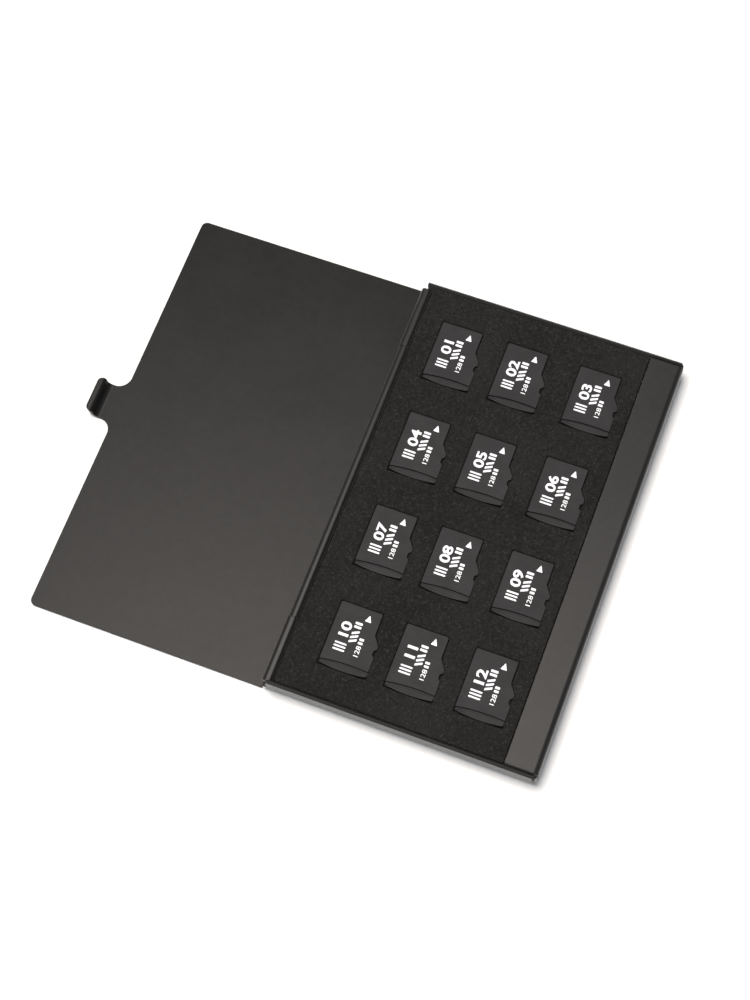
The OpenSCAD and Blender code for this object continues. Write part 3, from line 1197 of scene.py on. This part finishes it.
def floor_material():
    k = Nodes("floor_finish")
    cloud = k.noise(9, 3, 0.5)
    grain = k.noise(900, 2, 0.5)
    tone = k.math(
        "ADD", k.math("MULTIPLY", cloud, 0.7), k.math("MULTIPLY", grain, 0.3)
    )
    k.use(
        "Base Color",
        k.mix(k.ranged(tone, 0.3, 0.7, 0, 1), (0.868, 0.889, 0.914), (0.888, 0.908, 0.932)),
    )
    k.value("Roughness", 0.65)
    k.value("Specular IOR Level", 0.2)
    return k.material


def make_floor():
    """A wide round table top with a softly rounded rim."""
    bm = bmesh.new()
    n, rings = 96, []
    for r, z in ((0.6, 0.0), (1.5, 0.0), (1.9, 0.0), (1.93, -0.004), (1.94, -0.02)):
        rings.append(
            [
                bm.verts.new(
                    (
                        r * math.cos(2 * math.pi * i / n) - 0.03,
                        r * math.sin(2 * math.pi * i / n),
                        z - 0.00003,
                    )
                )
                for i in range(n)
            ]
        )
    bm.faces.new(rings[0])
    for a, b in zip(rings, rings[1:]):
        for i in range(n):
            j = (i + 1) % n
            bm.faces.new((a[i], b[i], b[j], a[j]))
    bmesh.ops.recalc_face_normals(bm, faces=bm.faces)
    mesh = bpy.data.meshes.new("floor")
    bm.to_mesh(mesh)
    bm.free()
    if mesh.polygons[0].normal.z < 0:
        mesh.flip_normals()
    obj = link(bpy.data.objects.new("floor", mesh))
    mesh.materials.append(floor_material())


def softbox(name, place, aim, size, power, colour=(1, 1, 1)):
    light = bpy.data.lights.new(name, "AREA")
    light.shape, light.size, light.size_y = "RECTANGLE", *size
    light.energy, light.color = power, colour
    obj = link(bpy.data.objects.new(name, light))
    obj.location = place
    direction = Vector(aim) - Vector(place)
    obj.rotation_mode = "QUATERNION"
    obj.rotation_quaternion = direction.to_track_quat("-Z", "Y")
    obj.visible_camera = False
    return obj


def make_world():
    world = bpy.data.worlds.new("studio")
    SCENE.world = world
    world.use_nodes = True
    tree = world.node_tree
    tree.nodes.clear()
    out = tree.nodes.new("ShaderNodeOutputWorld")
    room = tree.nodes.new("ShaderNodeBackground")
    seen = tree.nodes.new("ShaderNodeBackground")
    mix = tree.nodes.new("ShaderNodeMixShader")
    path = tree.nodes.new("ShaderNodeLightPath")
    coord = tree.nodes.new("ShaderNodeTexCoord")
    split = tree.nodes.new("ShaderNodeSeparateXYZ")
    ramp = tree.nodes.new("ShaderNodeValToRGB")
    ramp.color_ramp.elements[0].position = 0.0
    ramp.color_ramp.elements[0].color = (0.30, 0.30, 0.302, 1)
    ramp.color_ramp.elements[1].position = 1.0
    ramp.color_ramp.elements[1].color = (0.37, 0.372, 0.385, 1)
    middle = ramp.color_ramp.elements.new(0.35)
    middle.color = (0.22, 0.22, 0.222, 1)
    wire = tree.links.new
    wire(coord.outputs["Generated"], split.inputs[0])
    wire(split.outputs["Z"], ramp.inputs["Fac"])
    wire(ramp.outputs["Color"], room.inputs["Color"])
    room.inputs["Strength"].default_value = 1.0
    seen.inputs["Color"].default_value = (0.9, 0.9, 0.9, 1)
    seen.inputs["Strength"].default_value = 1.0
    wire(path.outputs["Is Camera Ray"], mix.inputs["Fac"])
    wire(room.outputs[0], mix.inputs[1])
    wire(seen.outputs[0], mix.inputs[2])
    wire(mix.outputs[0], out.inputs["Surface"])


make_floor()
make_world()
softbox(
    "overhead", (-0.165, -0.01, 0.8), (-0.165, -0.01, 0), (0.38, 0.28), 6.3, (1.0, 0.935, 0.865)
)
softbox(
    "front_fill", (-0.03, -1.05, 0.6), (-0.03, 0, 0), (1.5, 0.8), 4.2, (1.0, 0.99, 0.98)
)
softbox(
    "overhead_far", (-0.165, 0.19, 0.8), (-0.165, 0.19, 0), (0.38, 0.11), 1.2, (1.0, 0.935, 0.865)
)

camera = bpy.data.cameras.new("camera")
camera.type, camera.sensor_fit = "PERSP", "VERTICAL"
camera.sensor_width = camera.sensor_height = 36.0
camera.lens = 70.6166
camera.clip_start, camera.clip_end = 0.02, 20
view = link(bpy.data.objects.new("camera", camera))
view.matrix_world = Matrix(
    (
        (0.933675, -0.317649, 0.165379, 0.048749),
        (0.355176, 0.880455, -0.314085, -0.139118),
        (-0.04584, 0.351992, 0.93488, 0.40971),
        (0, 0, 0, 1),
    )
)
SCENE.camera = view
SCENE.view_settings.view_transform = "Standard"
SCENE.view_settings.look = "None"
